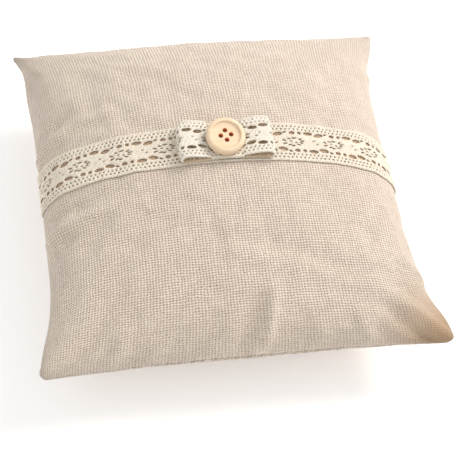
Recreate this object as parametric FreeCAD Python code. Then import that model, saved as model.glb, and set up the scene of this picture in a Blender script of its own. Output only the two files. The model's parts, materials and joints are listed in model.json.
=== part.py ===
"""Ring bearer pillow: a stuffed 20 cm linen cushion with a lace band, a lace bow and a wooden button.

The pillow lies on its back cover. Origin: centre of the footprint, on the surface it rests on.
+Z is up, +X runs along the lace band, +Y points to the edge that the wearer holds away from them.
All sizes are in millimetres.
"""
import FreeCAD, Part
import math
import os

from FreeCAD import Vector

# Cushion
SEAM_CORNER = 98.0          # from the centre to each seam corner, along X and along Y
SIDE_PULL_IN = 9.0          # how far the left and right seams draw in at mid-side
END_PULL_IN = 7.0           # how far the other two seams draw in at mid-side
EAR_POWER = 4               # higher: straighter sides with more pointed corner ears
SEAM_HEIGHT = 34.0          # seam plane above the surface
FRONT_CROWN = 37.0          # front cover above the seam plane, at the centre
BACK_CROWN = 38.0           # back cover below the seam plane, before it is pressed flat
CROWN_LEAN = 0.22           # how much fuller the +Y half of the front is
CLOTH = 0.8                 # linen cover
ALLOWANCE = 8.0             # seam allowance turned inside
FILL_GAP = 0.8              # clearance between fill and cover

# Threads
THREAD = 0.4                # seam lockstitch
THREAD_INSET = 1.6          # lockstitch line inside the seam edge
CORNER_STOP = 0.93          # each lockstitch run ends at this share of the half side
SLIP_STITCH = 0.5           # hand stitches that close the filling gap
SLIP_STITCH_LENGTH = 2.4
SLIP_STITCH_PITCH = 5.0
SLIP_STITCH_COUNT = 17

# Lace
LACE = 0.7                  # lace thickness
BAND_WIDTH = 21.5
BAND_MIDDLE_Y = 2.0         # band centreline where it crosses X = 0
BAND_SKEW = -1.5            # change in Y from there to the right-hand seam
BAND_GAP = 0.5              # air under the edges of the band; its middle nearly touches the cover
TAIL = 8.0                  # length of band caught in each side seam

# Bow, in its own frame on top of the band
BOW_WIDTH = 21.5
BOW_HALF_LENGTH = 24.0
BOW_CENTRE_HALF = 9.6       # pinched part that the tack and the button hold down
BOW_LIFT = 0.2              # air under the pinched part
LAYER_GAP = 0.1
HINGE_X = 10.0              # fold line of each loop
LOOP_START = 10.5
LOOP_LIFT = 0.45            # air under the loops
LOOP_RISE = 3.9             # between the two layers at the fullest place

# Tack stitches through bow, band and front cover
TACK = 0.5
TACK_HALF_SPAN = 2.0
TACK_Y = 5.6
TACK_HOLE = 0.9

# Button
BUTTON_RADIUS = 9.5
BUTTON_THICKNESS = 4.0
BUTTON_EDGE = 1.6           # radius of the rounded rim, outside
DISH_RADIUS = 7.2
DISH_DEPTH = 1.0
DISH_FILLET = 0.8
HOLE_RADIUS = 1.1
HOLE_CIRCLE = 2.55
HOLE_TURN = 4.0             # degrees, holes about the button's axis
BUTTON_TILT = 9.0           # degrees, button leans towards -Y on its glue
GLUE_RADIUS = 4.0
GLUE_HEIGHT = 1.6           # at the button's axis

GRID = 25                   # points each way on a cover surface
OUTLINE_STEPS = 12          # spans along one side of the plan outline
THREAD_STEPS = 8            # spans along one run of seam thread
BAND_SECTIONS = 41          # sections along the lace band
LOOP_STEPS = 20             # spans along each side of a loop's section
QUARTER = math.pi / 2
REPAIR = 1e-4               # tolerance for closing a solid's edges
TOUCH = 0.05                # play left between a thread and what it lies on
TACK_SLACK = 0.2            # play of the tack stitches under the front cover
TAIL_PLAY = 0.1             # play around the lace tails in the side seams
OVERCUT = 1.0               # how far a cutting tool reaches past a face
BUTTON_BACK_EDGE = 0.6      # rounding under the button's rim
DISH_FLARE = 0.8            # how much wider the dish is at its mouth
DISH_MOUTH = 0.4            # height of the dish tool above the button's face
# middle line of a loop: distance from the bow's centre, share of the loop's rise
LOOP_UNDER = ((LOOP_START, 0), (15, 0), (20, 0))
LOOP_OVER = ((19.5, 1), (15, 0.8), (12.5, 0.45))
FOLD_LEAD = (0.9, 0.064)    # last point before the fold: distance short of the tip, share of the rise
FOLD_EXIT = (1.3, 0.95)     # first point after the fold, likewise


def side_scale(v, inset):
    """Half width of the plan outline where the Y coordinate is at share v."""
    return SEAM_CORNER - SIDE_PULL_IN * (1 - v ** EAR_POWER) - inset


def end_scale(u, inset):
    """Half depth of the plan outline where the X coordinate is at share u."""
    return SEAM_CORNER - END_PULL_IN * (1 - u ** EAR_POWER) - inset


def cover_point(theta, phi, crown, lean=0.0, inset=0.0, base=0.0):
    """Point of a pillow surface; theta and phi run from -90 to 90 degrees between opposite seams."""
    u = math.sin(theta)
    v = math.sin(phi)
    rise = base + (crown - base) * math.cos(theta) * math.cos(phi) * (1 + lean * v)
    return Vector(u * side_scale(v, inset), v * end_scale(u, inset), SEAM_HEIGHT + rise)


def front_point(theta, phi):
    return cover_point(theta, phi, FRONT_CROWN, CROWN_LEAN)


def front_normal(theta, phi, step=1e-4):
    along_x = front_point(theta + step, phi) - front_point(theta - step, phi)
    along_y = front_point(theta, phi + step) - front_point(theta, phi - step)
    return along_x.cross(along_y).normalize()


def angles(count, limit=QUARTER):
    return [limit * (2 * i / (count - 1) - 1) for i in range(count)]


def dome(crown, lean, inset=0.0, base=0.0):
    """Solid between a plane at a base height over the seam and a pillow surface above it."""
    rows = [[cover_point(t, p, crown, lean, inset, base) for p in angles(GRID)] for t in angles(GRID)]
    surface = Part.BSplineSurface()
    surface.interpolate(rows)
    skin = surface.toShape()
    floor = Part.Face(Part.Wire(Part.sortEdges(skin.Edges)[0]))
    solid = Part.Solid(Part.makeShell([skin, floor]))
    solid.fix(REPAIR, REPAIR, REPAIR)
    return solid


def turned_down(solid):
    """The same solid hanging below the seam plane."""
    return solid.mirror(Vector(0, 0, SEAM_HEIGHT), Vector(0, 0, 1))


def outline_prism(inset, low, high):
    """Plan outline of the cushion, drawn in by inset, between two heights above the seam plane."""
    edges = []
    corners = [(-1, -1), (1, -1), (1, 1), (-1, 1)]
    for (u0, v0), (u1, v1) in zip(corners, corners[1:] + corners[:1]):
        points = []
        for k in range(OUTLINE_STEPS + 1):
            share = k / OUTLINE_STEPS
            u = u0 + (u1 - u0) * share
            v = v0 + (v1 - v0) * share
            points.append(Vector(u * side_scale(v, inset), v * end_scale(u, inset), SEAM_HEIGHT + low))
        curve = Part.BSplineCurve()
        curve.interpolate(points)
        edges.append(curve.toShape())
    face = Part.Face(Part.Wire(edges))
    return face.extrude(Vector(0, 0, high - low))


def above(height):
    size = 4 * SEAM_CORNER
    return Part.makeBox(size, size, size, Vector(-size / 2, -size / 2, height))


def hollow(crown, lean):
    """Space inside one cover: the dome over the seam allowance and the well between its edges."""
    well = outline_prism(ALLOWANCE, -OVERCUT, 2 * CLOTH)
    return dome(crown - CLOTH, lean, CLOTH, CLOTH).fuse(well)


def covers():
    """Front and back cover: domed shells, each with its own seam allowance lying inside the seam."""
    front = dome(FRONT_CROWN, CROWN_LEAN).cut(hollow(FRONT_CROWN, CROWN_LEAN))
    back_outside = turned_down(dome(BACK_CROWN, 0)).common(above(0))
    back_inside = turned_down(hollow(BACK_CROWN, 0)).common(above(CLOTH))
    return front, back_outside.cut(back_inside)


def fibre_fill():
    """Stuffing that fills both covers and stands clear of the seam allowances and their thread."""
    inset = CLOTH + FILL_GAP
    slot_half = CLOTH + 2 * THREAD
    front = dome(FRONT_CROWN - inset, CROWN_LEAN, inset, slot_half)
    back = turned_down(dome(BACK_CROWN - inset, 0, inset, slot_half)).common(above(inset))
    middle = outline_prism(ALLOWANCE + FILL_GAP, -slot_half, slot_half)
    return front.fuse([middle, back])


def seam_thread():
    """Needle thread over the front allowance and bobbin thread under the back one, a run per side."""
    runs = []
    for side in ("left", "right", "near", "far"):
        for face_height in (CLOTH + TOUCH, -CLOTH - TOUCH - THREAD):
            points = []
            for k in range(THREAD_STEPS + 1):
                share = CORNER_STOP * (2 * k / THREAD_STEPS - 1)
                sign = -1 if side in ("left", "near") else 1
                u, v = (sign, share) if side in ("left", "right") else (share, sign)
                x = u * side_scale(v, THREAD_INSET)
                y = v * end_scale(u, THREAD_INSET)
                points.append(Vector(x, y, SEAM_HEIGHT + face_height))
            inner, outer = Part.BSplineCurve(), Part.BSplineCurve()
            across = Vector(THREAD / 2, 0, 0) if side in ("left", "right") else Vector(0, THREAD / 2, 0)
            inner.interpolate([p - across for p in points])
            outer.interpolate([p + across for p in points])
            ends = [Part.makeLine(points[i] - across, points[i] + across) for i in (0, -1)]
            strip = Part.Face(Part.Wire(Part.sortEdges([inner.toShape(), outer.toShape()] + ends)[0]))
            runs.append(strip.extrude(Vector(0, 0, THREAD)))
    return Part.makeCompound(runs)


def closing_stitches():
    """Hand stitches across the near seam, over the gap left for stuffing."""
    stitches = []
    for k in range(SLIP_STITCH_COUNT):
        x = SLIP_STITCH_PITCH * (k - (SLIP_STITCH_COUNT - 1) / 2)
        y = -end_scale(x / SEAM_CORNER, 0) - SLIP_STITCH
        foot = Vector(x, y, SEAM_HEIGHT - SLIP_STITCH_LENGTH / 2)
        stitches.append(Part.makeCylinder(SLIP_STITCH / 2, SLIP_STITCH_LENGTH, foot))
    return Part.makeCompound(stitches)


def band_y(u):
    return BAND_MIDDLE_Y + BAND_SKEW * u


def band_section(theta):
    """Rectangle of lace across the band, standing off the front cover."""
    u = math.sin(theta)
    corners = []
    for edge, lift in ((-1, 0), (1, 0), (1, 1), (-1, 1)):
        y = band_y(u) + edge * BAND_WIDTH / 2
        phi = math.asin(y / end_scale(u, 0))
        off = BAND_GAP + lift * LACE
        corners.append(front_point(theta, phi) + front_normal(theta, phi) * off)
    return Part.makePolygon(corners + corners[:1])


def band_tail(side, clearance=0.0):
    """End of the band, turned in through the side seam and caught between the allowances."""
    seam_x = side_scale(0, 0) + BAND_GAP + LACE
    y = band_y(side)
    low = Vector(min(side * seam_x, side * (seam_x - TAIL)), y - BAND_WIDTH / 2, SEAM_HEIGHT)
    low = low - Vector(clearance, clearance, 0)
    return Part.makeBox(TAIL + 2 * clearance, BAND_WIDTH + 2 * clearance, LACE + clearance, low)


def lace_band():
    strip = Part.makeLoft([band_section(t) for t in angles(BAND_SECTIONS)], True, False)
    return strip.fuse(band_tail(-1)).fuse(band_tail(1)).removeSplitter()


def crown_frame():
    """Placement of the bow's frame: on top of the band at the middle, leaning as the cover leans."""
    phi = math.asin(BAND_MIDDLE_Y / end_scale(0, 0))
    normal = front_normal(0, phi)
    place = front_point(0, phi) + normal * (BAND_GAP + LACE)
    return FreeCAD.Placement(place, FreeCAD.Rotation(Vector(0, 0, 1), normal))


def crown_drop(x):
    """How far the front cover falls away beside its middle."""
    u = x / side_scale(0, 0)
    return FRONT_CROWN * (1 - math.sqrt(1 - u * u))


def bow_centre():
    """The two layers of ribbon at the pinch."""
    layers = []
    for k in range(2):
        low = Vector(-BOW_CENTRE_HALF, -BOW_WIDTH / 2, BOW_LIFT + k * (LACE + LAYER_GAP))
        layers.append(Part.makeBox(2 * BOW_CENTRE_HALF, BOW_WIDTH, LACE, low))
    return Part.makeCompound(layers)


def loop_path():
    """Middle line of the right-hand loop's ribbon, from the lower layer round the fold and back."""
    tip = BOW_HALF_LENGTH - LACE / 2
    lead, leaving = (tip - FOLD_LEAD[0], FOLD_LEAD[1]), (tip - FOLD_EXIT[0], FOLD_EXIT[1])
    end = (LOOP_START, (LACE + LAYER_GAP) / LOOP_RISE)
    shape = [*LOOP_UNDER, lead, (tip, 1 / 2), leaving, *LOOP_OVER, end]
    base = LOOP_LIFT + LACE / 2
    return [Vector(x, 0, base - crown_drop(x) + share * LOOP_RISE) for x, share in shape]


def bow_loop():
    """Right-hand loop: one flattened turn of ribbon."""
    middle = Part.BSplineCurve()
    middle.interpolate(loop_path())
    first, last = middle.FirstParameter, middle.LastParameter
    faces = []
    rims = []
    for sign in (-1, 1):
        points = []
        for k in range(LOOP_STEPS + 1):
            at = first + (last - first) * k / LOOP_STEPS
            along = middle.tangent(at)[0]
            points.append(middle.value(at) + Vector(along.z, 0, -along.x) * (sign * LACE / 2))
        curve = Part.BSplineCurve()
        curve.interpolate(points)
        faces.append(curve.toShape())
        rims.append((points[0], points[-1]))
    caps = [Part.makeLine(rims[0][i], rims[1][i]) for i in range(2)]
    section = Part.Face(Part.Wire(Part.sortEdges(faces + caps)[0]))
    section.translate(Vector(0, -BOW_WIDTH / 2, 0))
    return section.extrude(Vector(0, BOW_WIDTH, 0))


def tack_loops(radius):
    """Two closed stitches under the button, through the bow, the band and the front cover."""
    top = BOW_LIFT + 2 * LACE + LAYER_GAP + TACK / 2 + TOUCH
    bottom = -(BAND_GAP + LACE + CLOTH + TACK_SLACK) - TACK
    loops = []
    for y in (-TACK_Y, TACK_Y):
        height = top - bottom
        for x in (-TACK_HALF_SPAN, TACK_HALF_SPAN):
            loops.append(Part.makeCylinder(radius, height, Vector(x, y, bottom)))
        for z in (bottom, top):
            start = Vector(-TACK_HALF_SPAN, y, z)
            loops.append(Part.makeCylinder(radius, 2 * TACK_HALF_SPAN, start, Vector(1, 0, 0)))
            for x in (-TACK_HALF_SPAN, TACK_HALF_SPAN):
                loops.append(Part.makeSphere(radius, Vector(x, y, z)))
    return loops


def tack_thread():
    loops = tack_loops(TACK / 2)
    half = len(loops) // 2
    stitches = [pieces[0].multiFuse(pieces[1:]) for pieces in (loops[:half], loops[half:])]
    return Part.makeCompound(stitches)


def tack_clearance():
    pieces = tack_loops(TACK_HOLE / 2)
    return pieces[0].multiFuse(pieces[1:])


def button_frame():
    """Placement of the button in the bow's frame: on its glue, leaning towards -Y."""
    seat = BOW_LIFT + 2 * LACE + LAYER_GAP
    return FreeCAD.Placement(Vector(0, 0, seat + GLUE_HEIGHT),
                             FreeCAD.Rotation(Vector(1, 0, 0), BUTTON_TILT))


def button():
    """Turned wooden button: rounded rim, sunk dish and four holes."""
    blank = Part.makeCylinder(BUTTON_RADIUS, BUTTON_THICKNESS)
    middle = BUTTON_THICKNESS / 2
    blank = blank.makeFillet(BUTTON_EDGE, [e for e in blank.Edges if e.Closed and e.BoundBox.ZMin > middle])
    back_rim = [e for e in blank.Edges if e.Closed and e.BoundBox.ZMax < TOUCH]
    blank = blank.makeFillet(BUTTON_BACK_EDGE, back_rim)
    floor = BUTTON_THICKNESS - DISH_DEPTH
    narrow = DISH_RADIUS - DISH_FLARE / 2
    dish = Part.makeCone(narrow, narrow + DISH_FLARE, DISH_DEPTH + DISH_MOUTH, Vector(0, 0, floor))
    dish = dish.makeFillet(DISH_FILLET / 2, [e for e in dish.Edges if e.BoundBox.ZMax < floor + TOUCH])
    body = blank.cut(dish)
    for k in range(4):
        turn = math.radians(HOLE_TURN + 90 * k)
        at = Vector(HOLE_CIRCLE * math.cos(turn), HOLE_CIRCLE * math.sin(turn), -OVERCUT)
        body = body.cut(Part.makeCylinder(HOLE_RADIUS, BUTTON_THICKNESS + 2 * OVERCUT, at))
    return body


def button_glue():
    """Wedge of glue between the flat pinch of the bow and the leaning button."""
    seat = BOW_LIFT + 2 * LACE + LAYER_GAP
    wedge = Part.makeCylinder(GLUE_RADIUS, 2 * GLUE_HEIGHT, Vector(0, 0, seat))
    reach = 2 * GLUE_RADIUS
    cap = Part.makeBox(2 * reach, 2 * reach, reach, Vector(-reach, -reach, 0))
    cap.Placement = button_frame().multiply(cap.Placement)
    return wedge.cut(cap)


def placed(shape, frame):
    shape.Placement = frame.multiply(shape.Placement)
    return shape


def build():
    crown = crown_frame()
    clearance = placed(tack_clearance(), crown)
    front, back = covers()
    for side in (-1, 1):
        front = front.cut(band_tail(side, TAIL_PLAY))
    right_loop = bow_loop()
    left_loop = right_loop.mirror(Vector(0, 0, 0), Vector(1, 0, 0))
    seated_button = placed(button(), button_frame())
    return {
        "cover_front": front.cut(clearance),
        "cover_back": back,
        "fibre_fill": fibre_fill().cut(clearance),
        "seam_thread": seam_thread(),
        "closing_stitches": closing_stitches(),
        "lace_band": lace_band().cut(clearance),
        "bow_centre": placed(bow_centre(), crown).cut(clearance),
        "bow_right_loop": placed(right_loop, crown),
        "bow_left_loop": placed(left_loop, crown),
        "tack_thread": placed(tack_thread(), crown),
        "button": placed(seated_button, crown),
        "button_glue": placed(button_glue(), crown),
    }


def main():
    os.makedirs("parts", exist_ok=True)
    for name, shape in build().items():
        box = shape.BoundBox
        print(f"{name}: solids {len(shape.Solids)} valid {shape.isValid()} volume {shape.Volume:.1f}",
              f"x {box.XMin:.2f} {box.XMax:.2f} y {box.YMin:.2f} {box.YMax:.2f}",
              f"z {box.ZMin:.2f} {box.ZMax:.2f}")
        shape.exportStep(f"parts/{name}.step")


main()
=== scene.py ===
"""Looks of the ring bearer pillow: stuffed linen cushion, lace band and bow, wooden button, studio light."""
import json
import math

import bpy
import numpy as np
from mathutils import Matrix, Vector


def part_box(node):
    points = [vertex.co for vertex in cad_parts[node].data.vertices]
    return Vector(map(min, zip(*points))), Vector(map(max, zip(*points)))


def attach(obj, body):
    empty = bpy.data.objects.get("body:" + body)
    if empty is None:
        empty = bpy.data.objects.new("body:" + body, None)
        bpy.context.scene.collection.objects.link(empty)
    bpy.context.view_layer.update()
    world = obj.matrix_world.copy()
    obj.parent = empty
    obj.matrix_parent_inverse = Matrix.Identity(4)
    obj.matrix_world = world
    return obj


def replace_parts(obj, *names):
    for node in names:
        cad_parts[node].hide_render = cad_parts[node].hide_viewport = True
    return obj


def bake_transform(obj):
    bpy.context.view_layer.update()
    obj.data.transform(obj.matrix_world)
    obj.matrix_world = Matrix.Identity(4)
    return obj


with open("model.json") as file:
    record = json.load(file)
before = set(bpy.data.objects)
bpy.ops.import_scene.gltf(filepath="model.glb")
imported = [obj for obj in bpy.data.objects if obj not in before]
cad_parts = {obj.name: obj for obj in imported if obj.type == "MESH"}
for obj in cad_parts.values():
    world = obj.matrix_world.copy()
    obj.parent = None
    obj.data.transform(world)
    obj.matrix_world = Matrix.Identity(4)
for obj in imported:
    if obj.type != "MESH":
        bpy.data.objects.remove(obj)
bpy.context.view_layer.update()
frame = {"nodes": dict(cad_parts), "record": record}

MM = 0.001
ROOT = "cushion"

# ---------------------------------------------------------------- sizes taken from the frame
FRONT_LOW, FRONT_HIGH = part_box("cover_front")
BAND_LOW, BAND_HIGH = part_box("lace_band")
BAND_Y = (BAND_LOW[1] + BAND_HIGH[1]) / 2
SEAM_Z = FRONT_LOW[2]
CORNER = FRONT_HIGH[0]
TIE = next(m for m in frame["record"]["mounts"] if m["name"] == "ring_tie")
CROWN = Vector(TIE["pos_m"])
CROWN_UP = Vector(TIE["axis"]).normalized()
CROWN_BACK = CROWN_UP.cross(Vector((1, 0, 0))).normalized()

# ---------------------------------------------------------------- cushion
PANEL = 0.206               # flat side of each linen panel, seam to seam
CLOTH = 0.8 * MM
SIDE_PULL_IN = 9 * MM       # how far the side seams curve in between their corners
END_PULL_IN = 7 * MM        # the same for the near and far seams
EAR_POWER = 4               # a higher power makes narrower corner ears
FRONT_CROWN = 37 * MM       # height of the front panel's middle above the seam
BACK_CROWN = 38 * MM        # depth of the back panel's middle below the seam
CROWN_LEAN = 0.22           # how much fuller the far side of the front is than its middle
FULLNESS = 0.92             # below 1 the corners and edges are stuffed fuller than the CAD dome
CELLS = 96
SIM_SCALE = 10.0            # the cloth solver works best on a metre-sized copy
SIM_FRAMES = 26
VOLUME = 1.52e-3            # cubic metres inside the stuffed covers
LUMPS = 40                  # waves in the seeded unevenness that the wrinkles start from
LUMP_HEIGHT = 0.4           # mm
WRINKLE_WIDTH = 11 * MM     # what is broader than this is taken from the fitted shape
WRINKLE_GAIN = 0.75
TIP_CUT = 9 * MM            # corner tips are blunted within this much of both seams together
TIP_PULL = 0.38
NEAR_BULGE = 3.5 * MM
NEAR_SAG = 4.0 * MM
BACK_TUCK = 6.0 * MM        # how far the back panel is drawn in under the near seam
SEAM_GROOVE = 0.5 * MM
SEAT = (45 * MM, 30 * MM)   # half sizes of the patch under the bow that keeps the CAD cover's height
# places where a side seam runs off its regular line: side, place from -1 near to 1 far, shift along X in mm
SEAM_SHIFTS = ((1, 0.82, 3.2), (-1, 0.84, 2.8), (1, -0.82, 3.8), (-1, -0.8, -2.0))
# pressed-in folds of the front panel: start, end, width and height, mm on the flat panel
CREASES = (
    ((5, -101), (15, -66), 3.0, 2.6),
    ((-3, -101), (6, -70), 4.0, -2.4),
    ((-102, 18), (-74, 28), 3.0, 2.2),
    ((-74, 28), (-48, 31), 3.6, 1.4),
    ((-102, 26), (-70, 37), 4.0, -1.4),
    ((-102, -26), (-56, -23), 2.8, 2.2),
    ((-102, -18), (-60, -16), 3.6, -1.6),
    ((-102, -36), (-76, -31), 3.4, -1.2),
    ((-99, -97), (-66, -70), 4.0, 1.6),
    ((-84, -101), (-62, -74), 4.0, -1.6),
    ((-62, -103), (-54, -80), 4.0, 1.5),
    ((-36, -103), (-30, -80), 4.4, -1.1),
    ((30, -103), (34, -84), 3.6, 1.1),
    ((56, -103), (50, -80), 4.0, 1.3),
    ((84, -101), (62, -78), 4.0, -1.6),
    ((99, -97), (68, -72), 4.4, 1.8),
    ((102, -60), (80, -56), 3.6, 1.2),
    ((102, -30), (84, -32), 3.8, -1.0),
    ((102, 58), (82, 54), 3.8, 1.1),
    ((-102, 74), (-84, 66), 3.8, -1.2),
    ((96, 96), (82, 80), 3.8, -1.1),
)

# ---------------------------------------------------------------- stitches and stuffing
STITCH_PITCH = 3.0 * MM
SEAM_THREAD_RADIUS = 0.16 * MM
CLOSING_STITCHES = 17
CLOSING_PITCH = 5 * MM
CLOSING_THREAD_RADIUS = 0.22 * MM
FILL_STEP = 4               # the stuffing takes every fourth point of the covers
FILL_INSET = 2.2 * MM

# ---------------------------------------------------------------- lace; its pattern is in mm
LACE_WIDTH = 21.5 * MM
LACE_THICK = 0.7 * MM
LACE_STEP = 0.29
REPEAT = 21.3               # length of one pattern repeat
ROSETTE_AT = 13.4           # its two motifs' places along the repeat
DIAMOND_AT = 2.8
EDGE_PAIRS = 10             # pairs of small holes along each edge, in each repeat
SCALLOP = 0.14
ROUNDED = 0.45              # the cloth thins towards a hole or edge over this much
BAND_SKEW = 1.5 * MM        # the band's right end sits this much nearer than its middle

# ---------------------------------------------------------------- bow
BOW_TIP = 24 * MM
BOW_FOLD = {-1: 23.0, 1: 23.5}                      # how far out each loop folds back, mm
BOW_RISE = {-1: 3.5, 1: 3.4}                        # height of each loop's upper layer above its lower, mm
LOWER_LAYER, UPPER_LAYER = 0.55, 1.42               # heights of the two layers under the button, mm
PINCH = 8.0                                         # half length of the part under the button, mm
LAYER_SLIP = 0.8                                    # the upper layer lies this much further back, mm
TIP_ROUNDING = {-1: (2.8, 1.2), 1: (0.9, 0.7)}     # far and near corner of each loop's fold, mm

# ---------------------------------------------------------------- materials; lengths in mm
WARP_PITCH, WEFT_PITCH = 1.45, 1.12
# darker, warmer tone towards the front panel's near right corner tip
NEAR_TIP_TONE = (0.47, 0.30, 0.165)
# painted shade on the linen under the lace band, seen through its holes
UNDER_LACE_SHADE_TONE = (0.43, 0.265, 0.14)
BUTTON_TILT = 9.0           # degrees
HOLE_CIRCLE = 2.55
HOLE_TURN = 4.0             # degrees


def smooth_step(low, high, x):
    t = np.clip((x - low) / (high - low), 0, 1)
    return t * t * (3 - 2 * t)


def unit(vectors, least=1e-12):
    return vectors / np.maximum(np.linalg.norm(vectors, axis=-1, keepdims=True), least)


def cell_corners(grid):
    """The four corners of every cell of a grid, in order round the cell."""
    return grid[:-1, :-1], grid[1:, :-1], grid[1:, 1:], grid[:-1, 1:]


def quads_of(numbers):
    return np.stack(cell_corners(numbers), -1).reshape(-1, 4)


def edge_loop(grid):
    """Once round the rim of a grid."""
    return np.concatenate([grid[:-1, 0], grid[-1, :-1], grid[:0:-1, -1], grid[0, :0:-1]])


def joined_numbers(n):
    """Point numbers of two n by n grids that share their rims, and which places are rim."""
    rim = np.zeros((n, n), bool)
    rim[0, :] = rim[-1, :] = rim[:, 0] = rim[:, -1] = True
    upper = np.arange(n * n).reshape(n, n)
    lower = upper.copy()
    lower[~rim] = n * n + np.arange((~rim).sum())
    return upper, lower, rim


def between(grid, row, column):
    """Values of a grid at fractional rows and columns."""
    i, j = row.astype(int), column.astype(int)
    s, t = (row - i)[..., None], (column - j)[..., None]
    return ((grid[i, j] * (1 - s) + grid[i + 1, j] * s) * (1 - t)
            + (grid[i, j + 1] * (1 - s) + grid[i + 1, j + 1] * s) * t)


def grid_place(share, cells):
    """Fractional row for a share from 0 to 1, kept just inside the last cell."""
    return np.clip(share * cells, 0, cells - 1e-6)


def bell(width):
    """Weights of a Gaussian blur, and how many samples they reach to each side."""
    reach = int(3 * width)
    kernel = np.exp(-0.5 * (np.arange(-reach, reach + 1) / width) ** 2)
    return kernel / kernel.sum(), reach


def new_object(name, vertices, faces, uv=None):
    """Mesh object from arrays; uv is one flat coordinate per vertex, in metres."""
    mesh = bpy.data.meshes.new(name)
    vertices = np.asarray(vertices, dtype=np.float32)
    faces = np.asarray(faces, dtype=np.int32)
    mesh.vertices.add(len(vertices))
    mesh.vertices.foreach_set("co", vertices.ravel())
    mesh.loops.add(faces.size)
    mesh.loops.foreach_set("vertex_index", faces.ravel())
    mesh.polygons.add(len(faces))
    mesh.polygons.foreach_set("loop_start", np.arange(len(faces), dtype=np.int32) * faces.shape[1])
    mesh.update(calc_edges=True)
    mesh.polygons.foreach_set("use_smooth", np.ones(len(faces), dtype=bool))
    if uv is not None:
        layer = mesh.uv_layers.new(name="flat")
        layer.data.foreach_set("uv", np.asarray(uv, dtype=np.float32)[faces.ravel()].ravel())
    mesh.validate()
    piece = bpy.data.objects.new(name, mesh)
    bpy.context.scene.collection.objects.link(piece)
    return piece


# ---------------------------------------------------------------- cushion shape
def half_ellipse_angles(shares):
    """Angles whose arc length along the cushion's mid-line section is spread evenly."""
    theta = np.linspace(-math.pi / 2, math.pi / 2, 2001)
    speed = np.hypot((CORNER - SIDE_PULL_IN) * np.cos(theta), FRONT_CROWN * np.sin(theta))
    arc = np.concatenate([[0], np.cumsum((speed[1:] + speed[:-1]) / 2)])
    return np.interp(shares, arc / arc[-1] * 2 - 1, theta)


def waves(x, y, rng, count, shortest, longest):
    """Smooth seeded lumps of about unit size over flat coordinates."""
    total = np.zeros_like(x)
    for _ in range(count):
        angle = rng.uniform(0, np.pi)
        length = rng.uniform(shortest, longest)
        phase = rng.uniform(0, 2 * np.pi)
        total += np.sin(2 * np.pi * (x * np.cos(angle) + y * np.sin(angle)) / length + phase)
    return total / math.sqrt(count / 2)


def side_reach(v):
    """Half width of the cushion at a share v of the way to its far or near seam."""
    return CORNER - SIDE_PULL_IN * (1 - v ** EAR_POWER)


def end_reach(u):
    return CORNER - END_PULL_IN * (1 - u ** EAR_POWER)


def start_shape(lumpy=True):
    """Front and back grids of the stuffed cushion before the cloth is relaxed, and their flat coordinates."""
    shares = np.linspace(-1, 1, CELLS + 1)
    angle = half_ellipse_angles(shares)
    theta, phi = np.meshgrid(angle, angle, indexing="ij")
    u, v = np.sin(theta), np.sin(phi)
    x, y = u * side_reach(v), v * end_reach(u)
    dome = (np.cos(theta) * np.cos(phi)).clip(0, 1) ** FULLNESS
    flat = np.stack(np.meshgrid(shares, shares, indexing="ij"), -1) * PANEL / 2
    rng = np.random.default_rng(5)
    lumps = [waves(flat[..., 0], flat[..., 1], rng, LUMPS, 0.012, 0.045) * LUMP_HEIGHT * MM * lumpy
             for _ in range(2)]
    top = SEAM_Z + FRONT_CROWN * dome * (1 + CROWN_LEAN * v) + lumps[0]
    bottom = SEAM_Z - BACK_CROWN * dome + lumps[1]
    return np.stack([x, y, top], -1), np.stack([x, y, bottom], -1), flat


def relax_cloth(front, back, flat):
    """Blender's cloth on the two panels sewn together, filled to the cushion's volume; returns both grids."""
    front_numbers, back_numbers, rim = joined_numbers(CELLS + 1)
    points = np.concatenate([front.reshape(-1, 3), back[~rim]])
    rest = np.concatenate([flat.reshape(-1, 2), flat[~rim]])
    faces = np.concatenate([quads_of(front_numbers), quads_of(back_numbers)[:, [0, 3, 2, 1]]])
    cloth = new_object("cloth_work", points * SIM_SCALE, faces)
    cloth.shape_key_add(name="Basis")
    key = cloth.shape_key_add(name="flat")
    key.data.foreach_set("co", (np.pad(rest, ((0, 0), (0, 1))) * SIM_SCALE).ravel())
    stuffed = cloth.vertex_groups.new(name="stuffed")
    share = 2 * rest / PANEL
    into_corner = np.hypot(1 - np.abs(share[:, 0]), 1 - np.abs(share[:, 1]))
    for i, weight in enumerate(np.clip((into_corner - 0.06) / 0.25, 0, 1)):
        stuffed.add([i], float(weight), "REPLACE")
    modifier = cloth.modifiers.new("Cloth", "CLOTH")
    settings = modifier.settings
    settings.rest_shape_key = key
    settings.quality = 8
    settings.tension_stiffness = settings.compression_stiffness = 20
    settings.shear_stiffness = 4
    settings.bending_stiffness = 0.3
    settings.use_pressure = settings.use_pressure_volume = True
    settings.uniform_pressure_force = 0.05
    settings.target_volume = VOLUME * SIM_SCALE ** 3
    settings.pressure_factor = 80
    settings.vertex_group_pressure = "stuffed"
    settings.effector_weights.gravity = 0
    modifier.collision_settings.use_collision = False
    modifier.point_cache.frame_end = SIM_FRAMES
    scene = bpy.context.scene
    scene.frame_end = SIM_FRAMES
    for step in range(1, SIM_FRAMES + 1):
        scene.frame_set(step)
    solved = cloth.evaluated_get(bpy.context.evaluated_depsgraph_get()).to_mesh()
    places = np.empty(len(points) * 3)
    solved.vertices.foreach_get("co", places)
    places = places.reshape(-1, 3) / SIM_SCALE
    bpy.data.objects.remove(cloth)
    scene.frame_set(1)
    return places[front_numbers], places[back_numbers]


def refined(grid):
    """Grid with a point added between every two, by a four-point curve through its neighbours."""
    for axis in (0, 1):
        g = np.moveaxis(grid, axis, 0)
        padded = np.concatenate([2 * g[:1] - g[1:2], g, 2 * g[-1:] - g[-2:-1]])
        middle = (9 * (padded[1:-2] + padded[2:-1]) - padded[:-3] - padded[3:]) / 16
        out = np.empty((2 * len(g) - 1,) + g.shape[1:])
        out[0::2], out[1::2] = g, middle
        grid = np.moveaxis(out, 0, axis)
    return grid


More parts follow.
